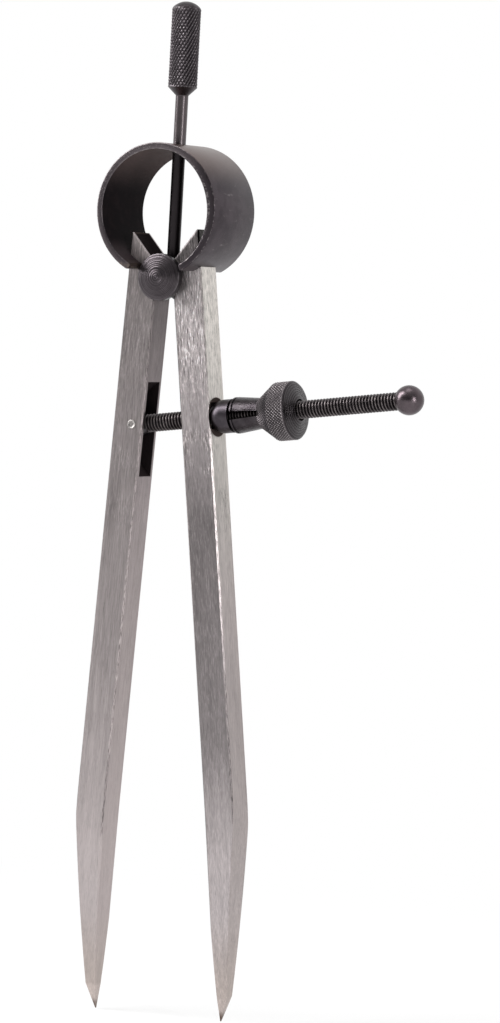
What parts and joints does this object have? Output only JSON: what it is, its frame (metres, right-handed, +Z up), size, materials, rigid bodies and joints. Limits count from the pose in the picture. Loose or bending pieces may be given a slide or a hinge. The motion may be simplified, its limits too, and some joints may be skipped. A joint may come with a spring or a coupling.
{
  "type": "spring divider",
  "caption": "Spring divider with square pointed legs, a strip bow, a knurled handle and a pivoted screw with a quick-release split nut that sets the gap between the points.",
  "frame": {"origin": "on the handle axis, in the middle of the grip's plain cylinder", "axes": "+Z up along the handle, +X to the side that the screw points to, and the legs swing in the XZ plane"},
  "size_m": [0.0721, 0.0172, 0.2078],
  "materials": {
    "ground_steel": "ground along the leg, worn bright at the corners",
    "pin_steel": "riveted and ground flush",
    "black_bow": "blackened spring steel, satin",
    "black_stud": "blackened, fine turned rings",
    "black_handle": "blackened, fine diagonal knurl",
    "black_thread": "blackened screw thread",
    "black_ball": "blackened, smooth",
    "black_nut": "blackened, diamond knurl on the shoulder and band"
  },
  "bodies": {
    "handle": {"handle": "black_handle", "fulcrum_stud": "black_stud", "bow_spring": "black_bow"},
    "left_leg": {"left_leg": "ground_steel", "screw_pivot_pin": "pin_steel"},
    "right_leg": {"right_leg": "ground_steel"},
    "screw": {"adjusting_screw": "black_thread", "end_ball": "black_ball"},
    "cup": {"cup_washer": "black_ball"},
    "nut": {"split_nut": "black_nut"}
  },
  "joints": [
    {"name": "left_leg_swing", "type": "hinge", "parent": "handle", "child": "left_leg", "pos_m": [0, 0, -0.04665], "axis": [0, 1, 0], "range_deg": [-5.4, 20], "deforming": ["bow_spring"]},
    {"name": "right_leg_swing", "type": "hinge", "parent": "handle", "child": "right_leg", "pos_m": [0, 0, -0.04665], "axis": [0, 1, 0], "range_deg": [-20, 5.4], "deforming": ["bow_spring"]},
    {"name": "screw_pivot", "type": "hinge", "parent": "left_leg", "child": "screw", "pos_m": [-0.00581, 0, -0.07699], "axis": [0, 1, 0], "range_deg": [-20, 5.4]},
    {"name": "cup_rock", "type": "hinge", "parent": "right_leg", "child": "cup", "pos_m": [0.01421, 0, -0.07408], "axis": [0, 1, 0], "range_deg": [-5.4, 20]},
    {"name": "nut_spin", "type": "hinge", "parent": "cup", "child": "nut", "pos_m": [0.01421, 0, -0.07408], "axis": [0.9896, 0, 0.1438], "range_deg": [-2660, 9850]}
  ],
  "couplings": [
    {"joint": "left_leg_swing", "follows": "nut_spin", "ratio": 0.0020297},
    {"joint": "right_leg_swing", "follows": "nut_spin", "ratio": -0.0020297},
    {"joint": "screw_pivot", "follows": "nut_spin", "ratio": -0.0020297},
    {"joint": "cup_rock", "follows": "nut_spin", "ratio": 0.0020297}
  ]
}
